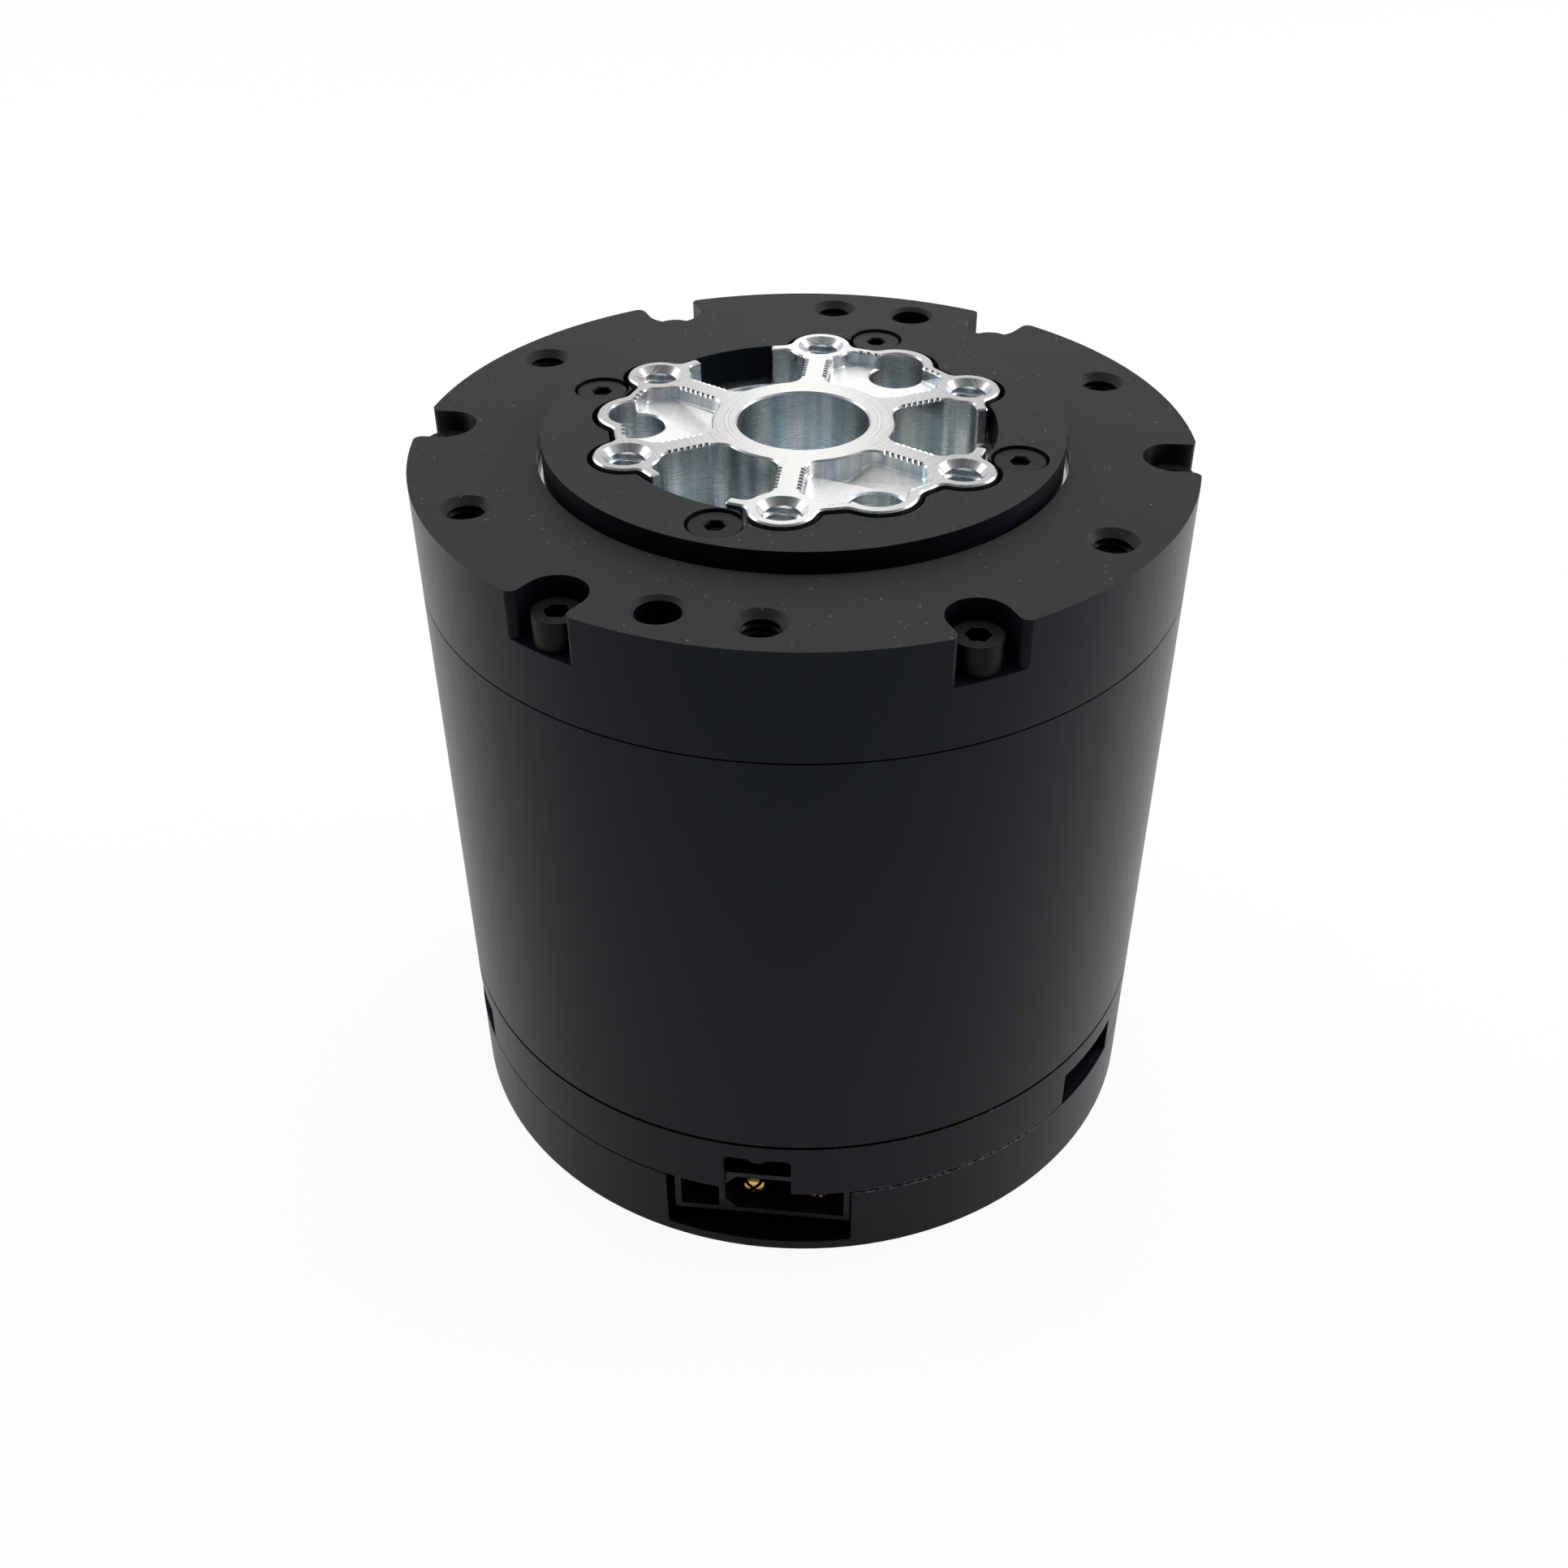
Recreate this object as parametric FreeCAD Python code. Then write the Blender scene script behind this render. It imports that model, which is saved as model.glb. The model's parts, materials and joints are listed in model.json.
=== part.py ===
# Robot joint actuator: a motor, a two-stage planetary gearbox and its driver in one round housing.
# Millimetres. +Z runs along the output axis, from the rear face (z = 0) to the output face.
# The power connector faces -Y.

import FreeCAD, Part
import math
import os

os.makedirs("parts", exist_ok=True)

# ---- housing ----
body_r = 28.0
cover_h = 6.5              # rear cover
ring_h = 5.2               # rear housing ring
sleeve_h = 35.3            # motor sleeve
flange_h = 8.1             # front flange
rear_wall = 5.4            # thickness of the cover's and the ring's round walls
cover_floor = 1.4
bulkhead_t = 1.4
sleeve_wall = 4.0
run_fit = 0.04             # radial clearance of a turning fit
gap = 0.3                  # free space between parts that pass each other

# ---- flange holes ----
mount_pcd = 49.6           # six M3 holes and two dowel holes
m3_tap_r = 1.25
dowel_r = 1.5
mount_depth = 5.0
dowel_depth = 4.0
dowel_angles = (75, 255)
boss_count = 6
notch_r = 2.15             # rim notch around each flange screw
notch_depth = 3.5
notch_round = 0.6
flange_screw_inset = 1.85  # screw axis from the side

# ---- fasteners ----
m2_r = 1.0
m2_clear_r = 1.1
tap_gap = 0.03             # between a screw's shank and its hole
flange_head_r = 1.65
flange_head_h = 2.2
flange_screw_l = 8.0
socket_af = 1.5
socket_depth = 1.0
rear_screw_inset = 2.1
rear_screw_angles = (60, 180, 300)
rear_head_r = 1.7
rear_head_h = 1.5
rear_head_sunk = 0.3       # head below the rear face
rear_grip = 4.0            # thread in the sleeve
disc_screw_circle = 15.9
disc_head_r = 1.85
disc_head_h = 1.1
disc_cbore_r = 2.0
disc_cbore_depth = 1.25
disc_screw_l = 4.2
disc_socket_af = 1.3
disc_socket_depth = 0.6
disc_screw_angles = (75, 165, 255, 345)

# ---- output carrier ----
carrier_proud = 1.6        # over the flange face
disc_proud = 1.4
lobe_base_past = 1.4       # base circle past the planet pins' circle
boss_past = 1.3            # six threaded bosses, past the planet pins' circle
boss_r = 2.3
boss_fillet = 0.8
pin_r = 2.0
pin_lobe_r = 2.8
pin_fillet = 1.0
output_bore_r = 4.7
output_bore_depth = 7.7
output_tap_depth = 7.2
hub_r = 6.5                # ring around the output bore
spoke_w = 1.9
lobe_wall = 0.8            # outer wall, inside the base circle
boss_relief_r = 2.45
window_depth = 6.8
pocket_depth = 1.9
window_corner = 1.2
relief_corner = 0.7
mouth_half_deg = 13.5
first_pocket_deg = 60
first_boss_deg = 30
pin_sunk = 2.2             # pin end under the pocket floor
disc_gap = 0.4             # around the carrier's lobes and inside the flange's bore

# ---- output bearing ----
bearing_bore_r = 17.5
bearing_r = 22.0
lip_t = 1.2                # flange lip over the bearing
lip_r = 19.0
shoulder_t = 1.0
shoulder_gap = 0.6         # radial, from the outer race

# ---- gears ----
gear_module = 0.8
sun_teeth = 10
planet_teeth = 20
ring_teeth = 50
pressure_deg = 20
sun_addendum = 1.0         # in modules, as the next five
planet_addendum = 0.85
ring_addendum = 0.8
sun_dedendum = 1.25
planet_dedendum = 1.25
ring_dedendum = 1.1
tooth_slack = 0.05         # taken off each flank at the pitch circle
planet_count = 3
stage2_face = 6.0
stage1_face = 5.0
stage_gap = 0.4
carrier1_t = 2.2
carrier1_rim = 4.5         # past the pins' circle
carrier1_bore_r = 2.4
pin1_r = 1.5

# ---- motor ----
mid_plate_t = 3.2
seat_wall = 1.7            # round a small bearing
mid_boss_h = 1.0
small_bearing_r = 5.5      # 5 x 11 x 3 ball bearings
small_bearing_bore = 2.5
small_bearing_w = 3.0
bearing_lip = 1.6          # radial width of the lip that holds a small bearing
shaft_r = 3.2
sun_bore_r = 1.5
stack_l = 10.0
coil_over = 2.0
coil_end_gap = 0.4
stator_yoke_t = 3.0
slots = 12
tooth_w = 3.2
shoe_t = 1.2
shoe_w = 6.4
coil_t = 1.5
air_gap = 0.5
stator_bore_r = 15.0
magnet_t = 1.5
magnet_count = 14
magnet_w = 5.2
yoke_t = 1.6
rotor_over = 0.5           # rotor past the stack at each end
web_t = 2.5

# ---- driver ----
board_t = 1.2
board_gap = 0.3
encoder_magnet_r = 3.0
encoder_magnet_t = 1.8
encoder_gap = 0.9
chip_side = 3.0
chip_t = 0.8
post_r = 1.8
post_circle = 19.0

# ---- power connector ----
shell_left = -7.15
shell_right = 6.5
shell_z = 1.95
shell_recess = 1.7         # face behind the housing's side
shell_depth = 10.5
socket_l = 7.5
shell_wall = 0.5
signal_w = 3.2             # signal bay
key_cut = 0.9              # cut corners of the main bay
power_pin_r = 1.0
power_pitch = 5.0
first_pin_x = -1.1
pin_axis_z = 3.9
power_pin_l = 6.7
pin_slit = 0.28
pin_slit_turns = ((45, -45), (0, 90))
signal_pin_side = 0.5
signal_pin_pitch = 1.7
port_left = -7.65          # opening for the plug in the cover
port_right = 6.65
port_z = 0.9
tool_notch_left = -3.0
tool_notch_right = 2.1
tool_notch_h = 3.6
tool_notch_round = 0.5
tool_bump_r = 1.0
tool_bump_drop = 0.35
side_slots = ((-36.2, -20.5), (-165.2, -149.5))
side_slot_h = 3.2

# ---- heights ----
seam3 = cover_h
seam2 = seam3 + ring_h
seam1 = seam2 + sleeve_h
flange_top = seam1 + flange_h
bearing_top = flange_top - lip_t
bearing_base = seam1
carrier_base = bearing_base - shoulder_t
carrier_top = flange_top + carrier_proud
disc_top = flange_top + disc_proud
planet2_top = carrier_base - stage_gap
planet2_base = planet2_top - stage2_face
carrier1_top = planet2_base - stage_gap
carrier1_base = carrier1_top - carrier1_t
planet1_top = carrier1_base - gap
planet1_base = planet1_top - stage1_face
mid_plate_top = planet1_base - gap
mid_plate_base = mid_plate_top - mid_plate_t
front_bearing_top = mid_plate_top - 0.2
front_bearing_base = front_bearing_top - small_bearing_w
board_base = seam3
board_top = board_base + board_t
encoder_magnet_base = board_top + chip_t + encoder_gap
shaft_end = encoder_magnet_base + encoder_magnet_t
rear_bearing_base = shaft_end + 0.6
rear_bearing_top = rear_bearing_base + small_bearing_w
coil_top = mid_plate_base - coil_end_gap
stack_top = coil_top - coil_over
stack_base = stack_top - stack_l

# ---- radii and places that follow from the others ----
flange_screw_circle = body_r - flange_screw_inset
rear_screw_circle = body_r - rear_screw_inset
disc_r = lip_r - disc_gap
shoulder_r = lip_r - shoulder_gap
bearing_boss_r = small_bearing_r + seat_wall
shell_face = -(body_r - shell_recess)
shell_h = seam3 - shell_z
divide_x = shell_left + signal_w + shell_wall
sleeve_bore_r = body_r - sleeve_wall
cavity_r = body_r - rear_wall
magnet_r = stator_bore_r - air_gap
yoke_flat = magnet_r - magnet_t
sun_pitch_r = gear_module * sun_teeth / 2
planet_pitch_r = gear_module * planet_teeth / 2
ring_pitch_r = gear_module * ring_teeth / 2
pin_circle = sun_pitch_r + planet_pitch_r
carrier1_r = pin_circle + carrier1_rim
boss_circle = pin_circle + boss_past
lobe_base_r = pin_circle + lobe_base_past
lobe_wall_r = lobe_base_r - lobe_wall
ring_root_r = ring_pitch_r + ring_dedendum * gear_module
sun_root_r = sun_pitch_r - sun_dedendum * gear_module

UP = FreeCAD.Vector(0, 0, 1)
ORIGIN = FreeCAD.Vector(0, 0, 0)


def polar(radius, degrees, z=0.0):
    angle = math.radians(degrees)
    return FreeCAD.Vector(radius * math.cos(angle), radius * math.sin(angle), z)


def cylinder(radius, z_low, z_high, centre=(0.0, 0.0)):
    return Part.makeCylinder(radius, z_high - z_low, FreeCAD.Vector(centre[0], centre[1], z_low), UP)


def box(low, high):
    size = [high[i] - low[i] for i in range(3)]
    return Part.makeBox(size[0], size[1], size[2], FreeCAD.Vector(*low))


def turned(profile):
    """A round part from the (radius, z) corners of its half section."""
    points = [FreeCAD.Vector(r, 0, z) for r, z in profile]
    wire = Part.makePolygon(points + points[:1])
    return Part.Face(wire).revolve(ORIGIN, UP, 360)


def tube(r_in, r_out, z_low, z_high):
    return cylinder(r_out, z_low, z_high).cut(cylinder(r_in, z_low, z_high))


def prism(points, z_low, z_high):
    """A straight-sided prism from (x, y) corners."""
    corners = [FreeCAD.Vector(x, y, z_low) for x, y in points]
    face = Part.Face(Part.makePolygon(corners + corners[:1]))
    return face.extrude(FreeCAD.Vector(0, 0, z_high - z_low))


def sector(r_in, r_out, from_deg, to_deg, z_low, z_high):
    """A piece of a flat ring between two angles."""
    middle = (from_deg + to_deg) / 2
    a, b, c = (polar(r_out, d, z_low) for d in (from_deg, middle, to_deg))
    d, e, f = (polar(r_in, d, z_low) for d in (to_deg, middle, from_deg))
    edges = [
        Part.Arc(a, b, c).toShape(),
        Part.makeLine(c, d),
        Part.Arc(d, e, f).toShape(),
        Part.makeLine(f, a),
    ]
    return Part.Face(Part.Wire(edges)).extrude(FreeCAD.Vector(0, 0, z_high - z_low))


def spun(shape, degrees):
    copy = shape.copy()
    copy.rotate(ORIGIN, UP, degrees)
    return copy


def moved(shape, x, y, z=0.0):
    copy = shape.copy()
    copy.translate(FreeCAD.Vector(x, y, z))
    return copy


def around(shape, count, start=0.0):
    return [spun(shape, start + 360.0 * k / count) for k in range(count)]


def fillet_upright(solid, near, radius, reach=0.15):
    """Round the upright edges that stand on the (x, y) points given."""
    edges = []
    for edge in solid.Edges:
        ends = [v.Point for v in edge.Vertexes]
        upright = len(ends) == 2 and abs(ends[0].z - ends[1].z) > reach
        flat = upright and math.hypot(ends[0].x - ends[1].x, ends[0].y - ends[1].y) < 1e-6
        if flat and any(math.hypot(ends[0].x - x, ends[0].y - y) < reach for x, y in near):
            edges.append(edge)
    return solid.makeFillet(radius, edges)


def hexagon(across_flats, z_low, z_high, centre):
    corner = across_flats / math.sqrt(3)
    points = [(centre[0] + corner * math.cos(math.radians(60 * k)),
               centre[1] + corner * math.sin(math.radians(60 * k))) for k in range(6)]
    return prism(points, z_low, z_high)


def save(name, *solids):
    shape = solids[0] if len(solids) == 1 else Part.makeCompound(list(solids))
    shape.exportStep("parts/" + name + ".step")


# ---- fasteners ----
def cap_screw(head_r, head_h, length, af, depth, head_top, place, downward=True):
    """A socket head screw: its head ends at head_top and its shank runs away from it."""
    way = -1 if downward else 1
    x, y = place
    seat = head_top + way * head_h
    end = seat + way * length
    head = cylinder(head_r, min(head_top, seat), max(head_top, seat), (x, y))
    shank = cylinder(m2_r, min(seat, end), max(seat, end), (x, y))
    floor = head_top + way * depth
    socket = hexagon(af, min(head_top, floor), max(head_top, floor), (x, y))
    return head.fuse(shank).removeSplitter().cut(socket)


def spots(circle, angles):
    return [(polar(circle, a).x, polar(circle, a).y) for a in angles]


flange_screw_angles = [60 * k for k in range(6)]
boss_angles = [first_boss_deg + 60 * k for k in range(boss_count)]
pin_angles = [first_pocket_deg + 120 * k for k in range(planet_count)]
window_angles = [a + 60 for a in pin_angles]


# ---- gears ----
def involute(angle):
    return math.tan(angle) - angle


def tooth_outline(teeth, tip_r, root_r, slack):
    """Corners of an external gear; a negative slack thins its teeth, a positive one widens them."""
    pitch_r = gear_module * teeth / 2
    pressure = math.radians(pressure_deg)
    base_r = pitch_r * math.cos(pressure)

    def half_angle(r):
        local = math.acos(min(1.0, base_r / r))
        return math.pi / 2 / teeth + slack / pitch_r + involute(pressure) - involute(local)

    radii = [root_r, pitch_r, tip_r]
    points = []
    for k in range(teeth):
        centre = 2 * math.pi * k / teeth
        flank = [(r, half_angle(r)) for r in radii]
        points += [(r * math.cos(centre - a), r * math.sin(centre - a)) for r, a in flank]
        points += [(r * math.cos(centre + a), r * math.sin(centre + a)) for r, a in reversed(flank)]
    return points


def external_gear(teeth, addendum, dedendum, z_low, z_high):
    pitch_r = gear_module * teeth / 2
    tip_r = pitch_r + addendum * gear_module
    root_r = pitch_r - dedendum * gear_module
    return prism(tooth_outline(teeth, tip_r, root_r, -tooth_slack), z_low, z_high)


def planet_turn(place_deg):
    """Turn of a planet that puts its teeth in mesh with a sun tooth on +X."""
    return place_deg + 180 + place_deg * sun_teeth / planet_teeth + 180 / planet_teeth


def ring_turn():
    first = pin_angles[0]
    return first + (planet_turn(first) - first) * planet_teeth / ring_teeth


def planet(place_deg, z_low, z_high, bore_r):
    gear = external_gear(planet_teeth, planet_addendum, planet_dedendum, z_low, z_high)
    gear = spun(gear.cut(cylinder(bore_r, z_low, z_high)), planet_turn(place_deg))
    spot = polar(pin_circle, place_deg)
    return moved(gear, spot.x, spot.y)


def planet_pins(z_low, z_high, radius):
    return [cylinder(radius, z_low, z_high, s) for s in spots(pin_circle, pin_angles)]


def ring_gear():
    inner_r = ring_pitch_r - ring_addendum * gear_module
    space = prism(tooth_outline(ring_teeth, ring_root_r, inner_r, tooth_slack), mid_plate_top, seam1)
    blank = cylinder(sleeve_bore_r, mid_plate_top, seam1)
    ring = blank.cut([spun(space, ring_turn()), cylinder(inner_r, mid_plate_top, seam1)])
    # room for the carrier's shoulder
    return ring.cut(cylinder(shoulder_r + gap, carrier_base - gap, seam1))


# ---- output carrier and its disc ----
def lobed_outline(grow, z):
    """Closed wire of the carrier's lobes: a base circle with rounded bosses, blended by small arcs."""
    base = lobe_base_r + grow
    lobes = [(a, boss_circle, boss_r + grow, boss_fillet - grow) for a in boss_angles]
    lobes += [(a, pin_circle, pin_lobe_r + grow, pin_fillet - grow) for a in pin_angles]
    edges = []
    last = None
    first = None
    for angle, out, radius, blend in sorted(lobes):
        # the blend's centre, seen from the axis and from the lobe's centre
        far = base + blend
        side = radius + blend
        turn = math.degrees(math.acos((out ** 2 + far ** 2 - side ** 2) / (2 * out * far)))
        centre = polar(out, angle, z)
        stops = []
        for sign in (-1, 1):
            blend_centre = polar(far, angle + sign * turn, z)
            on_base = polar(base, angle + sign * turn, z)
            on_lobe = centre + (blend_centre - centre) * (radius / side)
            middle = (on_base + on_lobe) * 0.5 - blend_centre
            half_way = blend_centre + middle * (blend / middle.Length)
            stops.append((on_base, half_way, on_lobe))
        top = polar(out + radius, angle, z)
        if last is None:
            first = (angle, turn, stops[0][0])
        else:
            edges.append(Part.Arc(last[2], polar(base, (last[0] + last[1] + angle - turn) / 2, z),
                                  stops[0][0]).toShape())
        edges.append(Part.Arc(*stops[0]).toShape())
        edges.append(Part.Arc(stops[0][2], top, stops[1][2]).toShape())
        edges.append(Part.Arc(stops[1][2], stops[1][1], stops[1][0]).toShape())
        last = (angle, turn, stops[1][0])
    middle = polar(base, (last[0] + last[1] + first[0] + 360 - first[1]) / 2, z)
    edges.append(Part.Arc(last[2], middle, first[2]).toShape())
    return Part.Wire(edges)


def lobed_prism(grow, z_low, z_high):
    return Part.Face(lobed_outline(grow, z_low)).extrude(FreeCAD.Vector(0, 0, z_high - z_low))


def spoke_gap(z_low, z_high):
    """The space between two spokes, the hub and the outer wall, centred on +X."""
    half = spoke_w / 2

    def beside_spoke(r, side):
        along = math.sqrt(r ** 2 - half ** 2)
        angle = math.radians(30)
        return (along * math.cos(angle) + half * math.sin(angle),
                side * (along * math.sin(angle) - half * math.cos(angle)))

    near = [beside_spoke(hub_r, s) for s in (-1, 1)]
    far = [beside_spoke(lobe_wall_r, s) for s in (-1, 1)]
    corners = [FreeCAD.Vector(x, y, z_low) for x, y in (near[0], far[0], far[1], near[1])]
    edges = [
        Part.makeLine(corners[0], corners[1]),
        Part.Arc(corners[1], FreeCAD.Vector(lobe_wall_r, 0, z_low), corners[2]).toShape(),
        Part.makeLine(corners[2], corners[3]),
        Part.Arc(corners[3], FreeCAD.Vector(hub_r, 0, z_low), corners[0]).toShape(),
    ]
    space = Part.Face(Part.Wire(edges)).extrude(FreeCAD.Vector(0, 0, z_high - z_low))
    for side in (-30, 30):
        boss = polar(boss_circle, side)
        space = space.cut(cylinder(boss_relief_r, z_low, z_high, (boss.x, boss.y)))
    space = fillet_upright(space, near, window_corner)
    # where the relief around a boss meets the spoke and the outer wall
    relief = math.sqrt(boss_relief_r ** 2 - half ** 2)
    spoke_end = math.sqrt((boss_circle - relief) ** 2 + half ** 2)
    cosine = (boss_circle ** 2 + lobe_wall_r ** 2 - boss_relief_r ** 2) / (2 * boss_circle * lobe_wall_r)
    wall_turn = 30 - math.degrees(math.acos(cosine))
    ends = [beside_spoke(spoke_end, s) for s in (-1, 1)]
    ends += spots(lobe_wall_r, (wall_turn, -wall_turn))
    return fillet_upright(space, ends, relief_corner)


def output_carrier():
    body = turned([
        (0, carrier_base), (shoulder_r, carrier_base), (shoulder_r, bearing_base),
        (bearing_bore_r, bearing_base), (bearing_bore_r, bearing_top), (0, bearing_top),
    ])
    body = body.fuse(lobed_prism(0, bearing_top, carrier_top)).removeSplitter()
    cuts = []
    window = spoke_gap(carrier_top - window_depth, carrier_top)
    mouth = sector(lobe_wall_r - 0.6, boss_circle + boss_r + 1, -mouth_half_deg, mouth_half_deg,
                   bearing_top, carrier_top)
    for angle in window_angles:
        cuts += [spun(window, angle), spun(mouth, angle)]
    pocket = spoke_gap(carrier_top - pocket_depth, carrier_top)
    for angle in pin_angles:
        cuts.append(spun(pocket, angle))
    for spot in spots(pin_circle, pin_angles):
        cuts.append(cylinder(pin_r, carrier_base, carrier_top, spot))
    for spot in spots(boss_circle, boss_angles):
        cuts.append(cylinder(m3_tap_r, carrier_top - output_tap_depth, carrier_top, spot))
    for spot in spots(disc_screw_circle, disc_screw_angles):
        hole_end = disc_top - disc_cbore_depth - disc_screw_l - gap
        cuts.append(cylinder(m2_r + tap_gap, hole_end, bearing_top, spot))
    cuts.append(cylinder(output_bore_r, carrier_top - output_bore_depth, carrier_top))
    return body.cut(cuts)


def output_disc():
    disc = cylinder(disc_r, bearing_top, disc_top)
    disc = disc.cut(lobed_prism(disc_gap, bearing_top, disc_top))
    for spot in spots(disc_screw_circle, disc_screw_angles):
        disc = disc.cut(cylinder(m2_clear_r, bearing_top, disc_top, spot))
        disc = disc.cut(cylinder(disc_cbore_r, disc_top - disc_cbore_depth, disc_top, spot))
    return disc


# ---- housing ----
def front_flange():
    body = turned([
        (bearing_r, seam1), (body_r, seam1), (body_r, flange_top),
        (lip_r, flange_top), (lip_r, bearing_top), (bearing_r, bearing_top),
    ])
    floor = flange_top - notch_depth
    slot = cylinder(notch_r, floor, flange_top, (flange_screw_circle, 0))
    slot = slot.fuse(box((flange_screw_circle, -notch_r, floor), (body_r + 1, notch_r, flange_top)))
    body = body.cut(around(slot, 6))
    rim = math.sqrt(body_r ** 2 - notch_r ** 2)
    corners = []
    for angle in flange_screw_angles:
        for side in (-1, 1):
            turn = angle + side * math.degrees(math.atan2(notch_r, rim))
            corners.append((polar(body_r, turn).x, polar(body_r, turn).y))
    cuts = []
    for spot in spots(flange_screw_circle, flange_screw_angles):
        cuts.append(cylinder(m2_clear_r, seam1, floor, spot))
    for spot in spots(mount_pcd / 2, boss_angles):
        cuts.append(cylinder(m3_tap_r, flange_top - mount_depth, flange_top, spot))
    for spot in spots(mount_pcd / 2, dowel_angles):
        cuts.append(cylinder(dowel_r, flange_top - dowel_depth, flange_top, spot))
    body = body.cut(cuts)
    return round_notches(body, corners, floor)


def round_notches(body, corners, floor):
    """Round the upright edges where each notch meets the flange's side."""
    edges = []
    for edge in body.Edges:
        ends = [v.Point for v in edge.Vertexes]
        if len(ends) != 2 or min(p.z for p in ends) < floor - 0.01:
            continue
        if abs(ends[0].z - ends[1].z) < notch_depth / 2:
            continue
        middle = (ends[0] + ends[1]) * 0.5
        if any(math.hypot(middle.x - x, middle.y - y) < 0.3 for x, y in corners):
            edges.append(edge)
    return body.makeFillet(notch_round, edges)


def motor_sleeve():
    body = tube(sleeve_bore_r, body_r, seam2, seam1)
    hole_r = m2_r + tap_gap
    grip = flange_screw_l - (flange_h - notch_depth)
    cuts = [cylinder(hole_r, seam1 - grip - gap, seam1, s)
            for s in spots(flange_screw_circle, flange_screw_angles)]
    cuts += [cylinder(hole_r, seam2, seam2 + rear_grip + gap, s)
             for s in spots(rear_screw_circle, rear_screw_angles)]
    return body.cut(cuts)


def rear_ring():
    bulkhead_base = seam2 - bulkhead_t
    body = turned([
        (small_bearing_r - bearing_lip, bulkhead_base), (cavity_r, bulkhead_base), (cavity_r, seam3),
        (body_r, seam3), (body_r, seam2), (bearing_boss_r, seam2), (bearing_boss_r, rear_bearing_top),
        (small_bearing_r, rear_bearing_top), (small_bearing_r, rear_bearing_base),
        (small_bearing_r - bearing_lip, rear_bearing_base),
    ])
    cuts = [cylinder(m2_clear_r, seam3, seam2, s) for s in spots(rear_screw_circle, rear_screw_angles)]
    for low, high in side_slots:
        cuts.append(sector(cavity_r - 1, body_r + 1, low, high, seam3 - 1, seam3 + side_slot_h))
    top = seam3 + tool_notch_h
    notch = box((tool_notch_left, -body_r - 1, seam3 - 1), (tool_notch_right, -cavity_r + 1, top))
    upper = [e for e in notch.Edges if e.BoundBox.ZMin > top - 0.1 and e.BoundBox.YLength > 1]
    notch = notch.makeFillet(tool_notch_round, upper)
    middle = (tool_notch_left + tool_notch_right) / 2
    bump = Part.makeCylinder(tool_bump_r, rear_wall + 2,
                             FreeCAD.Vector(middle, -body_r - 1, top + tool_bump_r - tool_bump_drop),
                             FreeCAD.Vector(0, 1, 0))
    cuts.append(notch.cut(bump))
    return body.cut(cuts)


def rear_cover():
    body = turned([
        (0, 0), (body_r, 0), (body_r, seam3), (cavity_r, seam3), (cavity_r, cover_floor), (0, cover_floor),
    ])
    posts = [cylinder(post_r, cover_floor, board_base, s) for s in spots(post_circle, pin_angles)]
    body = body.fuse(posts)
    cuts = []
    head_seat = rear_head_sunk + rear_head_h
    for spot in spots(rear_screw_circle, rear_screw_angles):
        cuts.append(cylinder(rear_head_r + 0.2, 0, head_seat, spot))
        cuts.append(cylinder(m2_clear_r, head_seat, seam3, spot))
    cuts.append(box((port_left, -body_r - 1, port_z), (port_right, -cavity_r + 2, seam3)))
    return body.cut(cuts)


def mid_plate():
    return turned([
        (small_bearing_r - bearing_lip, mid_plate_base - mid_boss_h), (bearing_boss_r, mid_plate_base - mid_boss_h),
        (bearing_boss_r, mid_plate_base), (sleeve_bore_r, mid_plate_base), (sleeve_bore_r, mid_plate_top),
        (small_bearing_r, mid_plate_top), (small_bearing_r, front_bearing_base),
        (small_bearing_r - bearing_lip, front_bearing_base),
    ])


# ---- motor ----
def stator_core():
    """A ring yoke with straight teeth and flat shoes."""
    yoke_in = sleeve_bore_r - stator_yoke_t
    core = tube(yoke_in, sleeve_bore_r, stack_base, stack_top)
    shoe_out = stator_bore_r + shoe_t
    half = tooth_w / 2
    tooth = prism([
        (stator_bore_r, -shoe_w / 2), (shoe_out, -shoe_w / 2), (shoe_out, -half), (yoke_in + 0.5, -half),
        (yoke_in + 0.5, half), (shoe_out, half), (shoe_out, shoe_w / 2), (stator_bore_r, shoe_w / 2),
    ], stack_base, stack_top)
    return core.fuse(around(tooth, slots)).removeSplitter()


def coils():
    low_r = stator_bore_r + shoe_t
    half = tooth_w / 2
    high_r = math.sqrt((sleeve_bore_r - stator_yoke_t) ** 2 - (half + coil_t) ** 2)
    coil = box((low_r, -half - coil_t, stack_base - coil_over), (high_r, half + coil_t, stack_top + coil_over))
    hole = box((low_r, -half, stack_base), (high_r, half, stack_top))
    return around(coil.cut(hole), slots)


def magnets():
    """Flat magnets on the flats of the rotor hub."""
    half = magnet_w / 2
    out_r = math.sqrt(magnet_r ** 2 - half ** 2)
    return around(box((yoke_flat, -half, stack_base), (out_r, half, stack_top)), magnet_count)


def rotor_hub():
    """A cup on the shaft, with one flat for each magnet."""
    low = stack_base - rotor_over
    high = stack_top + rotor_over
    corner = yoke_flat / math.cos(math.pi / magnet_count)
    flats = [((k + 0.5) * 360 / magnet_count) for k in range(magnet_count)]
    cup = prism(spots(corner, flats), low, high)
    hollow = tube(shaft_r, yoke_flat - yoke_t, low + web_t, high)
    cup = cup.cut([cylinder(shaft_r, low, high), hollow])
    return cup


def rotor_shaft():
    return turned([
        (0, shaft_end), (small_bearing_bore, shaft_end), (small_bearing_bore, rear_bearing_top),
        (shaft_r, rear_bearing_top), (shaft_r, front_bearing_base), (small_bearing_bore, front_bearing_base),
        (small_bearing_bore, front_bearing_top), (sun_bore_r, front_bearing_top),
        (sun_bore_r, planet1_top), (0, planet1_top),
    ])


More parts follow.
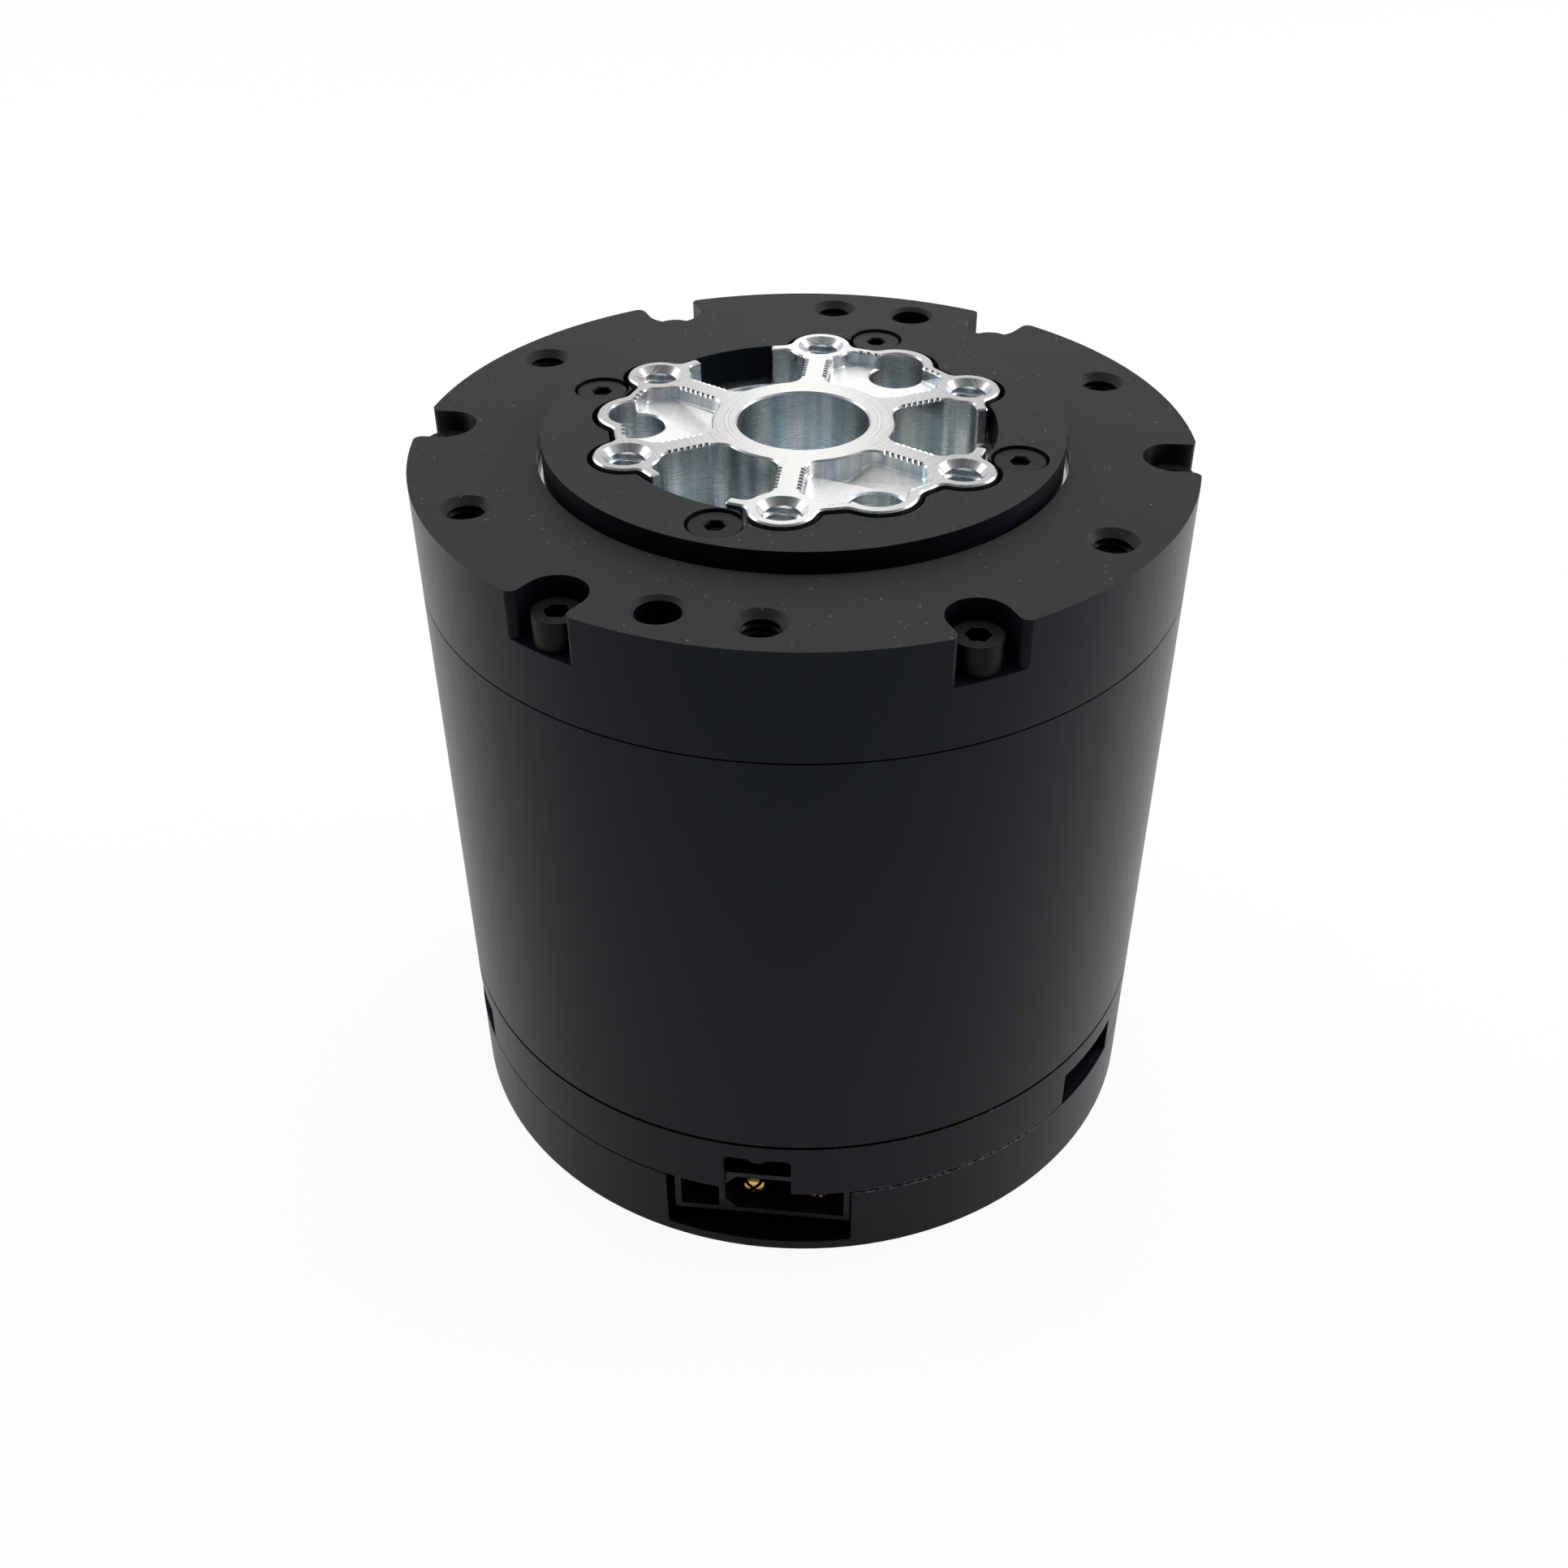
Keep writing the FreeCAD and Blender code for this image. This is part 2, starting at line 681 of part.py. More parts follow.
def input_sun():
    gear = external_gear(sun_teeth, sun_addendum, sun_dedendum, front_bearing_top, planet1_top)
    return gear.cut(cylinder(sun_bore_r, front_bearing_top, planet1_top))


def second_sun():
    gear = external_gear(sun_teeth, sun_addendum, sun_dedendum, carrier1_top, planet2_top)
    return gear.fuse(cylinder(carrier1_bore_r, carrier1_base, carrier1_top))


def first_carrier():
    plate = cylinder(carrier1_r, carrier1_base, carrier1_top)
    cuts = [cylinder(carrier1_bore_r, carrier1_base, carrier1_top)]
    cuts += [cylinder(pin1_r, carrier1_base, carrier1_top, s) for s in spots(pin_circle, pin_angles)]
    return plate.cut(cuts)


# ---- driver and connector ----
def driver_board():
    board = cylinder(cavity_r - board_gap, board_base, board_top)
    half = chip_side / 2
    chip = box((-half, -half, board_top), (half, half, board_top + chip_t))
    return board.fuse(chip)


def connector_shell():
    low = shell_z
    high = shell_z + shell_h
    body = box((shell_left, shell_face, low), (shell_right, shell_face + shell_depth, high))
    floor = shell_face + socket_l
    signal = box((shell_left + shell_wall, shell_face, low + shell_wall),
                 (divide_x - shell_wall / 2, floor, high - shell_wall))
    left = divide_x + shell_wall / 2
    right = shell_right - shell_wall
    bottom = low + shell_wall
    top = high - shell_wall
    corners = [
        (left + key_cut, bottom), (right, bottom), (right, top), (left + key_cut, top),
        (left, top - key_cut), (left, bottom + key_cut),
    ]
    points = [FreeCAD.Vector(x, shell_face, z) for x, z in corners]
    main = Part.Face(Part.makePolygon(points + points[:1])).extrude(FreeCAD.Vector(0, socket_l, 0))
    return body.cut([signal, main] + [pin_blank(x) for x in power_pin_x()] + signal_pins())


def power_pin_x():
    return [first_pin_x, first_pin_x + power_pitch]


def pin_blank(x):
    return Part.makeCylinder(power_pin_r, power_pin_l + 1, FreeCAD.Vector(x, pin_front(), pin_axis_z),
                             FreeCAD.Vector(0, 1, 0))


def pin_front():
    return shell_face + socket_l - power_pin_l


def power_pins():
    """Round pins, split crosswise so that they spring in their socket."""
    out = []
    for x, turns in zip(power_pin_x(), pin_slit_turns):
        pin = pin_blank(x)
        for turn in turns:
            slit = box((-power_pin_r - 1, pin_front(), -pin_slit / 2),
                       (power_pin_r + 1, pin_front() + power_pin_l * 0.7, pin_slit / 2))
            slit.rotate(ORIGIN, FreeCAD.Vector(0, 1, 0), turn)
            pin = pin.cut(moved(slit, x, 0, pin_axis_z))
        out.append(pin)
    return out


def signal_pins():
    half = signal_pin_side / 2
    x = (shell_left + shell_wall + divide_x - shell_wall / 2) / 2
    out = []
    for side in (-1, 1):
        z = shell_z + shell_h / 2 + side * signal_pin_pitch / 2
        out.append(box((x - half, pin_front() + 1, z - half), (x + half, shell_face + socket_l + 1, z + half)))
    return out


# ---- build ----
floor_of_notch = flange_top - notch_depth
save("front_flange", front_flange())
save("motor_sleeve", motor_sleeve())
save("rear_ring", rear_ring())
save("rear_cover", rear_cover())
save("flange_screws", *[
    cap_screw(flange_head_r, flange_head_h, flange_screw_l, socket_af, socket_depth,
              floor_of_notch + flange_head_h, s)
    for s in spots(flange_screw_circle, flange_screw_angles)])
rear_screw_l = seam2 + rear_grip - rear_head_sunk - rear_head_h
save("rear_screws", *[
    cap_screw(rear_head_r, rear_head_h, rear_screw_l, socket_af, socket_depth, rear_head_sunk, s, False)
    for s in spots(rear_screw_circle, rear_screw_angles)])

save("output_carrier", output_carrier())
save("output_disc", output_disc())
save("disc_screws", *[
    cap_screw(disc_head_r, disc_head_h, disc_screw_l, disc_socket_af, disc_socket_depth,
              disc_top - disc_cbore_depth + disc_head_h, s)
    for s in spots(disc_screw_circle, disc_screw_angles)])
save("output_bearing_outer_race", tube(lip_r, bearing_r, bearing_base, bearing_top))
save("output_bearing_inner_race", tube(bearing_bore_r, lip_r - run_fit, bearing_base, bearing_top))

save("ring_gear", ring_gear())
pocket_floor = carrier_top - pocket_depth
save("second_stage_pins", *planet_pins(planet2_base, pocket_floor - pin_sunk, pin_r))
save("first_stage_pins", *planet_pins(planet1_base, carrier1_top, pin1_r))
for number, angle in enumerate(pin_angles, 1):
    save("second_stage_planet_%d" % number, planet(angle, planet2_base, planet2_top, pin_r + run_fit))
    save("first_stage_planet_%d" % number, planet(angle, planet1_base, planet1_top, pin1_r + run_fit))
save("first_stage_carrier", first_carrier())
save("second_stage_sun", second_sun())
save("input_sun", input_sun())

save("mid_plate", mid_plate())
save("motor_bearings", *[
    tube(small_bearing_bore + run_fit, small_bearing_r, z, z + small_bearing_w)
    for z in (rear_bearing_base, front_bearing_base)])
save("stator_core", stator_core())
save("stator_coils", *coils())
save("rotor_shaft", rotor_shaft())
save("rotor_hub", rotor_hub())
save("rotor_magnets", *magnets())
save("encoder_magnet", cylinder(encoder_magnet_r, encoder_magnet_base, shaft_end))

save("driver_board", driver_board())
save("connector_shell", connector_shell())
save("power_pins", *power_pins())
save("signal_pins", *signal_pins())
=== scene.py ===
import bpy
import json
import math
from mathutils import Matrix, Vector

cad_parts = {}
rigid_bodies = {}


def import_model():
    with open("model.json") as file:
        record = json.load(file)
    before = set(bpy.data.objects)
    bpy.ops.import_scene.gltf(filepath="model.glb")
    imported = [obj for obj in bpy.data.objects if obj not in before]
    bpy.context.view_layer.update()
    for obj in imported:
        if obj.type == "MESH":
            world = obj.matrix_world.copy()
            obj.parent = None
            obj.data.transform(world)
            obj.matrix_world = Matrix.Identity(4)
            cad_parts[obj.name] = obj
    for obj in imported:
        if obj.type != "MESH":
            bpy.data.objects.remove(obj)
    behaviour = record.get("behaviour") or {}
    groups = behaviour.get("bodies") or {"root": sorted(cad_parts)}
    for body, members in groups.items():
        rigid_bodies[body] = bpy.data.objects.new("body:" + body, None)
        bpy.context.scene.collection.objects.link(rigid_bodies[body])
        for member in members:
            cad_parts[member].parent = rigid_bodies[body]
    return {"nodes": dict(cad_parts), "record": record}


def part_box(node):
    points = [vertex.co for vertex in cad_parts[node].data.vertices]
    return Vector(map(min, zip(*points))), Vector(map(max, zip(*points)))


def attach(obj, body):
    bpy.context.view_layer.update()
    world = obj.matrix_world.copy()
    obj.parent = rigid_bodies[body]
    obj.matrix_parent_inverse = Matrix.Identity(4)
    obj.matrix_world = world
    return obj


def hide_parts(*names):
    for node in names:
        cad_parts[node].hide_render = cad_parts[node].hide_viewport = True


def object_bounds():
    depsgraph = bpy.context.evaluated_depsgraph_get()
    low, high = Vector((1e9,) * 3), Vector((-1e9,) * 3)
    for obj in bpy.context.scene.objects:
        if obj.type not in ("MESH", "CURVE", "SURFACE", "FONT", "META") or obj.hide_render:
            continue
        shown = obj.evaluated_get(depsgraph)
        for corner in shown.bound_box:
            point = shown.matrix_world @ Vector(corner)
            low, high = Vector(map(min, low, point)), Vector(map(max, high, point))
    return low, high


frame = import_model()
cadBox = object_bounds()
nodes = frame["nodes"]
mm = 0.001
overlap = 0.02     # how far a cutter passes a wall, in mm
past = 0.1         # and how far it passes a face
print("frame loaded:", len(nodes), "nodes")


class Value:
    # a number or vector socket that adds Math nodes when it is used in a sum
    def __init__(self, graph, socket):
        self.graph = graph
        self.socket = socket

    def maths(self, operation, *values):
        return self.graph.add("ShaderNodeMath", {"operation": operation}, dict(enumerate(values)))

    def __add__(self, other):
        return self.maths("ADD", self, other)

    def __radd__(self, other):
        return self.maths("ADD", other, self)

    def __sub__(self, other):
        return self.maths("SUBTRACT", self, other)

    def __rsub__(self, other):
        return self.maths("SUBTRACT", other, self)

    def __mul__(self, other):
        return self.maths("MULTIPLY", self, other)

    def __rmul__(self, other):
        return self.maths("MULTIPLY", other, self)

    def __truediv__(self, other):
        return self.maths("DIVIDE", self, other)

    def __pow__(self, other):
        return self.maths("POWER", self, other)

    def above(self, edge, soft):
        # 0 below the edge, 1 above it, smooth over the soft width
        return self.graph.add("ShaderNodeMapRange", {"interpolation_type": "SMOOTHSTEP"},
                              {"Value": self, "From Min": edge - soft, "From Max": edge + soft})

    def between(self, low, high, soft):
        return self.above(low, soft) * (1 - self.above(high, soft))


class Graph:
    # one material and its nodes
    def __init__(self, name, **plain):
        self.material = bpy.data.materials.new(name)
        self.material.use_nodes = True
        self.tree = self.material.node_tree
        self.tree.nodes.clear()
        self.shader = self.tree.nodes.new("ShaderNodeBsdfPrincipled")
        self.out = self.tree.nodes.new("ShaderNodeOutputMaterial")
        self.tree.links.new(self.shader.outputs[0], self.out.inputs[0])
        for socket, value in plain.items():
            self.shader.inputs[socket.replace("_", " ")].default_value = value

    def add(self, kind, settings=None, inputs=None, output=0):
        node = self.tree.nodes.new(kind)
        for key, value in (settings or {}).items():
            setattr(node, key, value)
        for key, value in (inputs or {}).items():
            self.plug(node.inputs[key], value)
        return Value(self, node.outputs[output])

    def plug(self, socket, value):
        if isinstance(value, Value):
            self.tree.links.new(value.socket, socket)
        elif hasattr(socket.default_value, "__len__") and not hasattr(value, "__len__"):
            socket.default_value = [value] * len(socket.default_value)
        else:
            socket.default_value = value

    def set(self, **sockets):
        for name, value in sockets.items():
            self.plug(self.shader.inputs[name.replace("_", " ")], value)
        return self.material

    def place(self):
        return self.add("ShaderNodeTexCoord", output="Object")

    def axes(self, place):
        return [self.add("ShaderNodeSeparateXYZ", None, {0: place}, k) for k in range(3)]

    def noise(self, place, size, detail=2.0, rough=0.5):
        # size is the length of one blotch in mm
        return self.add("ShaderNodeTexNoise", None,
                        {"Vector": place, "Scale": 1 / (size * mm), "Detail": detail, "Roughness": rough})

    def stretch(self, place, scale):
        return self.add("ShaderNodeMapping", None, {"Vector": place, "Scale": scale})

    def mix(self, share, low, high):
        return self.add("ShaderNodeMix", {"data_type": "RGBA"}, {0: share, 6: low, 7: high}, 2)

    def bump(self, height, depth, strength=1.0):
        # depth is the height of the relief in mm
        return self.add("ShaderNodeBump", None,
                        {"Height": height, "Distance": depth * mm, "Strength": strength})


def heights(nodeName):
    # the lowest and highest z of a CAD node, in mm
    low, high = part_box(nodeName)
    return round(low[2] / mm, 3), round(high[2] / mm, 3)


def grey(level, tint=(1.0, 1.0, 1.0)):
    return (level * tint[0], level * tint[1], level * tint[2], 1.0)


housingFinish = {
    # top and litTopWorn: one anodised black, painted lighter on the faces that look up, partly for the
    # bead-blast finish and partly as painted light from above
    "top": grey(0.0185, (0.95, 1.04, 0.98)),
    "litTopWorn": grey(0.0245, (0.97, 1.03, 0.98)),
    # side and shadedSideWorn: the same anodised black, painted darker on the upright faces as painted shade
    "side": grey(0.005, (0.8, 0.97, 1.35)),
    "shadedSideWorn": grey(0.007, (0.84, 0.98, 1.3)),
    "dust": grey(0.15),
    "rub": grey(0.09, (0.95, 1.0, 1.05)),
    "rubbedFace": (0.5, -0.866),     # the direction of the worn part of the rear joints
    "rubbedFrom": (26.3, 1.1),       # how far out it starts, and how softly
    "rubHeights": (6.2, 6.6),
    "nickHeights": (11.3, 11.6),
    "grain": 0.12,
    "grainDepth": 0.006,
}


def blastedLitTop(v):
    # bead-blast and anodised faces that look up, painted lighter than the sides, partly for the bead-blast
    # finish and partly as painted light from above
    g = Graph("blastedLitTop", Specular_IOR_Level=0.1)
    place = g.place()
    cloud = g.noise(place, 9.0, 3.0)
    speck = g.noise(place, 0.3, 1.0).above(0.74, 0.02) * g.noise(place, 3.0, 1.0).above(0.48, 0.1)
    scuff = g.noise(g.stretch(place, (1.0, 0.15, 1.0)), 0.25, 1.0).above(0.8, 0.02)
    colour = g.mix(cloud, v["top"], v["litTopWorn"])
    colour = g.mix(speck * 0.6 + scuff * 0.25, colour, v["dust"])
    blast = g.noise(place, v["grain"], 2.0)
    return g.set(Base_Color=colour, Roughness=0.56 + (cloud - 0.5) * 0.12,
                 Normal=g.bump(blast, v["grainDepth"], 0.5))


def turnedShadedSide(v):
    # turned and anodised sides, painted darker than the tops as painted shade, rubbed pale along the rear
    # joints
    g = Graph("turnedShadedSide", Specular_IOR_Level=0.12, Specular_Tint=(0.8, 0.9, 1.0, 1.0))
    place = g.place()
    x, y, z = g.axes(place)
    cloud = g.noise(place, 9.0, 3.0)
    colour = g.mix(cloud, v["side"], v["shadedSideWorn"])
    towardsX, towardsY = v["rubbedFace"]
    start, soft = v["rubbedFrom"]
    front = (x * towardsX + y * towardsY).above(start * mm, soft * mm)
    crumbs = g.noise(place, 0.35, 2.0).above(0.5, 0.08)
    low, high = v["rubHeights"]
    rub = z.between(low * mm, high * mm, 0.08 * mm) * front * crumbs
    low, high = v["nickHeights"]
    nicks = z.between(low * mm, high * mm, 0.06 * mm) * g.noise(place, 0.5, 1.0).above(0.66, 0.03)
    colour = g.mix(rub + nicks * 0.6 * front, colour, v["rub"])
    turning = g.noise(g.stretch(place, (0.02, 0.02, 1.0)), 0.12, 2.0)
    return g.set(Base_Color=colour, Roughness=0.33 + (cloud - 0.5) * 0.06 + (turning - 0.5) * 0.05,
                 Normal=g.bump(turning, v["grainDepth"] * 0.5, 0.4))


aluminiumFinish = {
    "bright": grey(0.63, (1.0, 1.0, 0.975)),
    "dull": grey(0.47, (1.0, 1.0, 0.975)),
    # the walls: bluish and warm painted reflections, on a base lifted above the top face as painted light
    "wallDarkSkyReflection": grey(0.56, (0.84, 1.0, 1.13)),
    "wallLightWarmReflection": grey(0.92, (1.0, 0.99, 0.94)),
    # the floors of the pockets: lifted above the top face as painted light
    "pocket": grey(0.86, (1.0, 1.0, 0.98)),
    "pocketDull": grey(0.62, (1.0, 1.0, 0.99)),
    "streak": 0.9,
    "line": 0.16,
    "lineDepth": 0.011,
}


def milledFace(v):
    # the carrier's top, with rings left by the tool
    g = Graph("milledFace", Metallic=1.0)
    place = g.place()
    x, y, z = g.axes(place)
    radius = (x * x + y * y) ** 0.5
    cloud = g.noise(place, 4.0, 3.0)
    rings = g.add("ShaderNodeTexNoise", {"noise_dimensions": "1D"},
                  {"W": radius, "Scale": 1 / (v["line"] * mm), "Detail": 2.0})
    colour = g.mix(cloud * 0.6 + rings * 0.4, v["dull"], v["bright"])
    return g.set(Base_Color=colour, Roughness=0.24 + (rings - 0.5) * 0.16 + (cloud - 0.5) * 0.1,
                 Normal=g.bump(rings, v["lineDepth"], 0.8))


def milledWall(v):
    # upright walls, with streaks along the tool's axis, coloured bluish and warm as painted reflections, on
    # a base lifted above the top face's as painted light
    g = Graph("milledWall", Metallic=1.0)
    place = g.place()
    streaks = g.noise(g.stretch(place, (1.0, 1.0, 0.03)), v["streak"], 3.0, 0.6)
    scratch = g.noise(g.stretch(place, (0.1, 0.1, 1.0)), 0.12, 2.0)
    colour = g.mix(streaks.above(0.5, 0.2), v["wallDarkSkyReflection"], v["wallLightWarmReflection"])
    return g.set(Base_Color=colour, Roughness=0.27 + (scratch - 0.5) * 0.1,
                 Normal=g.bump(streaks + scratch * 0.5, 0.016, 0.7))


def milledPocket(v):
    # dull mottled floors, lifted above the top face's colour as painted light; the mottle is the floor's own
    g = Graph("milledPocket", Metallic=1.0)
    place = g.place()
    mottle = g.noise(place, 0.8, 4.0, 0.7)
    arcs = g.noise(g.stretch(place, (1.0, 0.2, 1.0)), 0.3, 2.0)
    colour = g.mix(mottle, v["pocketDull"], v["pocket"])
    return g.set(Base_Color=colour, Roughness=0.5 + (arcs - 0.5) * 0.2,
                 Normal=g.bump(mottle + arcs * 0.3, 0.012, 0.6))


def steel(name, colour, dark, rough, blotch=1.5, grain=0.1, depth=0.003):
    g = Graph(name, Metallic=1.0)
    place = g.place()
    cloud = g.noise(place, blotch, 3.0)
    fine = g.noise(place, grain, 2.0)
    return g.set(Base_Color=g.mix(cloud, dark, colour), Roughness=rough + (fine - 0.5) * 0.2,
                 Normal=g.bump(fine, depth, 0.5))


def moulded(name, colour, worn, rough, blotch=4.0, grain=0.15, depth=0.006):
    g = Graph(name, Specular_IOR_Level=0.25)
    place = g.place()
    cloud = g.noise(place, blotch, 3.0)
    fine = g.noise(place, grain, 2.0)
    return g.set(Base_Color=g.mix(cloud, colour, worn), Roughness=rough + (cloud - 0.5) * 0.15,
                 Normal=g.bump(fine, depth, 0.4))


finishes = {
    "housing": turnedShadedSide(housingFinish),
    "bare_aluminium": milledWall(aluminiumFinish),
    "black_screws": steel("blackOxide", grey(0.016, (1.03, 1.0, 0.96)), grey(0.01, (1.05, 1.0, 0.95)), 0.48),
    "bearing_steel": steel("groundSteel", grey(0.66), grey(0.55), 0.2),
    "gear_steel": steel("gearSteel", grey(0.42), grey(0.3), 0.36),
    "pin_steel": steel("pinSteel", grey(0.62), grey(0.5), 0.22),
    "rotor_steel": steel("rotorSteel", grey(0.34), grey(0.24), 0.38),
    "laminations": steel("laminations", grey(0.2), grey(0.12), 0.5),
    "winding_copper": steel("windingCopper", (0.72, 0.3, 0.13, 1), (0.5, 0.18, 0.07, 1), 0.3),
    "magnet_nickel": steel("magnetNickel", (0.62, 0.6, 0.55, 1), (0.5, 0.48, 0.44, 1), 0.22),
    "board_laminate": moulded("boardLaminate", (0.012, 0.05, 0.03, 1), (0.02, 0.075, 0.045, 1), 0.4),
    "connector_plastic": moulded("connectorPlastic", grey(0.007), grey(0.011), 0.5),
    "contact_gold": steel("contactGold", (0.86, 0.56, 0.2, 1), (0.7, 0.42, 0.13, 1), 0.2, 0.8),
}
litBlastedTop = blastedLitTop(housingFinish)
milled = milledFace(aluminiumFinish)
pocketed = milledPocket(aluminiumFinish)
slotOf = {p["node"]: p["material_slot"] for p in frame["record"]["subparts"]}
for nodeName, node in nodes.items():
    for materialSlot in node.material_slots:
        materialSlot.material = finishes[slotOf[nodeName]]
print("finishes:", len(finishes))


def pickNone():
    if bpy.context.mode != "OBJECT":
        bpy.ops.object.mode_set(mode="OBJECT")
    bpy.ops.object.select_all(action="DESELECT")


def pick(piece):
    pickNone()
    piece.select_set(True)
    bpy.context.view_layer.objects.active = piece


def settle(piece):
    # the piece's place goes into its mesh
    pick(piece)
    bpy.ops.object.transform_apply(location=True, rotation=True, scale=True)
    return piece


def named(piece, name):
    piece.name = name
    piece.data.name = name
    return piece


def rod(radius, low, high, at=(0.0, 0.0), sides=96, name="rod", topRadius=None):
    # an upright cylinder, or a cone with topRadius
    pickNone()
    place = (at[0] * mm, at[1] * mm, (low + high) / 2 * mm)
    top = radius if topRadius is None else topRadius
    bpy.ops.mesh.primitive_cone_add(vertices=sides, radius1=radius * mm, radius2=top * mm,
                                    depth=(high - low) * mm, location=place)
    return named(settle(bpy.context.object), name)


def turned(name, profile, sides=192):
    # a closed ring: a circle extruded and resized along its half section
    pickNone()
    startRadius, startHeight = profile[0]
    bpy.ops.mesh.primitive_circle_add(vertices=sides, radius=startRadius * mm,
                                      location=(0, 0, startHeight * mm))
    piece = named(settle(bpy.context.object), name)
    bpy.ops.object.mode_set(mode="EDIT")
    bpy.ops.mesh.select_all(action="SELECT")
    for (r, z), (nextR, nextZ) in zip(profile, profile[1:] + profile[:1]):
        bpy.ops.mesh.extrude_edges_move(TRANSFORM_OT_translate={"value": (0, 0, (nextZ - z) * mm)})
        bpy.ops.transform.resize(value=(nextR / r, nextR / r, 1), center_override=(0, 0, 0))
    bpy.ops.mesh.select_all(action="SELECT")
    bpy.ops.mesh.remove_doubles(threshold=0.001 * mm)
    bpy.ops.mesh.normals_make_consistent(inside=False)
    bpy.ops.object.mode_set(mode="OBJECT")
    return piece


def copyOf(nodeName, name):
    # a merged copy of a CAD node, with its flat faces whole again
    pick(nodes[nodeName])
    bpy.ops.object.duplicate()
    piece = bpy.context.object
    bpy.ops.object.parent_clear(type="CLEAR_KEEP_TRANSFORM")
    named(piece, name)
    bpy.ops.mesh.customdata_custom_splitnormals_clear()
    bpy.ops.object.mode_set(mode="EDIT")
    bpy.ops.mesh.select_all(action="SELECT")
    bpy.ops.mesh.remove_doubles(threshold=0.002 * mm)
    bpy.ops.mesh.dissolve_limited(angle_limit=math.radians(0.8))
    bpy.ops.object.mode_set(mode="OBJECT")
    return piece


def applyAll(piece):
    pick(piece)
    for modifier in list(piece.modifiers):
        bpy.ops.object.modifier_apply(modifier=modifier.name)


def cutAway(piece, cutters):
    # the cutters are clear of each other, so one cut takes them all
    cutter = joined(cutters, "cutter")
    modifier = piece.modifiers.new("cut", "BOOLEAN")
    modifier.operation = "DIFFERENCE"
    modifier.solver = "MANIFOLD"
    modifier.object = cutter
    applyAll(piece)
    bpy.data.objects.remove(cutter)


def breakEdges(piece, width, segments=2, angle=30):
    modifier = piece.modifiers.new("edges", "BEVEL")
    modifier.width = width * mm
    modifier.segments = segments
    modifier.limit_method = "ANGLE"
    modifier.angle_limit = math.radians(angle)
    modifier.harden_normals = False
    modifier.use_clamp_overlap = True
    applyAll(piece)


def finished(piece, body, slot, replaced=(), angle=32):
    pick(piece)
    bpy.ops.object.shade_smooth_by_angle(angle=math.radians(angle))
    bpy.ops.object.modifier_add(type="WEIGHTED_NORMAL")    # flat faces stay flat beside rounded edges
    piece.modifiers[-1].keep_sharp = True
    applyAll(piece)
    piece.data.materials.clear()
    piece.data.materials.append(finishes[slot])
    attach(piece, body)
    if replaced:
        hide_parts(*replaced)
    return piece


def faceFinish(piece, finish, test):
    # a second finish on the faces that pass the test, by their middle in mm and normal
    piece.data.materials.append(finish)
    index = len(piece.data.materials) - 1
    for polygon in piece.data.polygons:
        if test(polygon.center / mm, polygon.normal):
            polygon.material_index = index


def joined(pieces, name):
    pickNone()
    for piece in pieces:
        piece.select_set(True)
    bpy.context.view_layer.objects.active = pieces[0]
    if len(pieces) > 1:
        bpy.ops.object.join()
    return named(bpy.context.object, name)


def onCircle(radius, degrees):
    return (radius * math.cos(math.radians(degrees)), radius * math.sin(math.radians(degrees)))


def chosenEdges(piece, test):
    # selects the edges whose middle passes the test, in mm
    pick(piece)
    bpy.ops.object.mode_set(mode="EDIT")
    bpy.ops.mesh.select_mode(type="EDGE")
    bpy.ops.mesh.select_all(action="DESELECT")
    bpy.ops.object.mode_set(mode="OBJECT")
    points = [v.co / mm for v in piece.data.vertices]
    for edge in piece.data.edges:
        a, b = (points[k] for k in edge.vertices)
        edge.select = test((a + b) / 2, b - a)
    bpy.ops.object.mode_set(mode="EDIT")


def roundChosen(piece, test, width, segments=3):
    chosenEdges(piece, test)
    bpy.ops.mesh.bevel(offset=width * mm, segments=segments, profile=0.5, affect="EDGES")
    bpy.ops.object.mode_set(mode="OBJECT")


def helix(radius, low, high, pitch, depth, at, steps=18):
    # a spiral of diamond section, which cuts a V thread in a hole's wall
    pickNone()
    bpy.ops.mesh.primitive_circle_add(vertices=4, radius=depth * mm, location=(radius * mm, 0, low * mm),
                                      rotation=(math.pi / 2, 0, 0))
    spiral = settle(bpy.context.object)
    turn = spiral.modifiers.new("turn", "SCREW")
    turn.screw_offset = pitch * mm
    turn.iterations = round((high - low) / pitch)
    turn.steps = steps
    turn.render_steps = steps
    applyAll(spiral)
    pick(spiral)
    bpy.ops.object.mode_set(mode="EDIT")
    bpy.ops.mesh.select_all(action="SELECT")
    bpy.ops.mesh.fill_holes(sides=4)
    bpy.ops.mesh.select_all(action="SELECT")
    bpy.ops.mesh.normals_make_consistent(inside=False)
    bpy.ops.object.mode_set(mode="OBJECT")
    spiral.location = (at[0] * mm, at[1] * mm, 0)
    return settle(spiral)


def cutRing(piece, inner, outer, low, high):
    cutAway(piece, [turned("ring", [(inner, low), (outer, low), (outer, high), (inner, high)], 180)])


flangeLook = {
    "top": heights("front_flange")[1],
    "tapCircle": 24.8,
    "tapAngles": (30, 90, 150, 210, 270, 330),
    "tapRadius": 1.25,
    "tapMouth": 1.72,
    "tapSink": 0.55,
    "dowelAngles": (75, 255),
    "dowelRadius": 1.5,
    "dowelMouth": 1.78,
    "dowelSink": 0.3,
    "pitch": 0.5,
    "threadDepth": 0.22,
    "threadStart": 0.3,
    "threadLength": 4.0,
    "edge": 0.16,
}


def threadHoles(piece, v, circle, angles):
    # countersunk mouths, then the threads under them
    mouths, threads = [], []
    for angle in angles:
        spot = onCircle(circle, angle)
        mouths.append(rod(v["tapRadius"] - overlap, v["top"] - v["tapSink"], v["top"] + past,
                          spot, 40, "mouth", v["tapMouth"] + past))
        threads.append(helix(v["tapRadius"] + overlap, v["top"] - v["threadLength"],
                             v["top"] - v["threadStart"], v["pitch"], v["threadDepth"], spot))
    cutAway(piece, mouths)
    cutAway(piece, threads)


